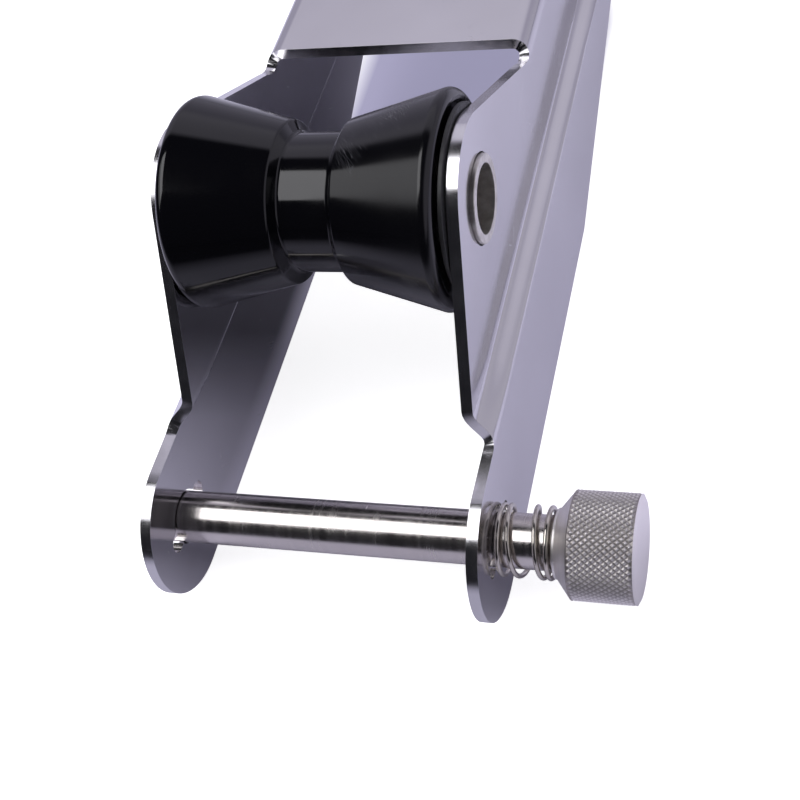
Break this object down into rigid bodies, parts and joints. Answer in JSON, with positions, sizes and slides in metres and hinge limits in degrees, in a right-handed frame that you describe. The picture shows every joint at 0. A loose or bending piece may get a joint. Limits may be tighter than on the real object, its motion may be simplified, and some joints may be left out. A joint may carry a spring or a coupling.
{
  "type": "bow roller",
  "caption": "Folded stainless channel with an hourglass anchor roller between its raised cheeks and a spring-loaded retaining pin across its front ears.",
  "frame": {"origin": "middle of the deck face, the outer side of the channel's web, between the four bolt holes", "axes": "+Z out of the deck face (the part lies mouth down, so on a boat -Z points up), -Y towards the bow, +X along the roller's axle to the knob's side"},
  "size_m": [0.114, 0.2777, 0.0917],
  "materials": {
    "polished_stainless": "polished stainless sheet with a soft mirror finish and bright rounded edges",
    "tube_stainless": "plain drawn stainless tube",
    "pin_stainless": "polished stainless bar",
    "turned_stainless": "turned and diamond knurled stainless",
    "spring_wire": "drawn stainless spring wire",
    "black_roller": "glossy black with light handling scratches",
    "black_nylon": "satin black nylon"
  },
  "bodies": {
    "bracket": {"channel": "polished_stainless", "axle_tube": "tube_stainless", "side_washer_left": "black_nylon", "side_washer_right": "black_nylon"},
    "roller": {"roller": "black_roller"},
    "pin_spring": {"spring": "spring_wire"},
    "pin": {"retaining_pin": "pin_stainless", "cross_pin": "pin_stainless", "knob": "turned_stainless"}
  },
  "joints": [
    {"name": "roller_turn", "type": "hinge", "parent": "bracket", "child": "roller", "pos_m": [-0.00085, -0.1323, 0.0016], "axis": [1, 0, 0], "continuous": true},
    {"name": "pin_turn", "type": "hinge", "parent": "bracket", "child": "pin_spring", "pos_m": [0, -0.1838, -0.0486], "axis": [1, 0, 0], "continuous": true},
    {"name": "pin_push", "type": "slide", "parent": "pin_spring", "child": "pin", "axis": [-1, 0, 0], "range_m": [0, 0.005], "stiffness_N_per_m": 800, "springref_m": -0.004, "deforming": ["spring"]}
  ]
}
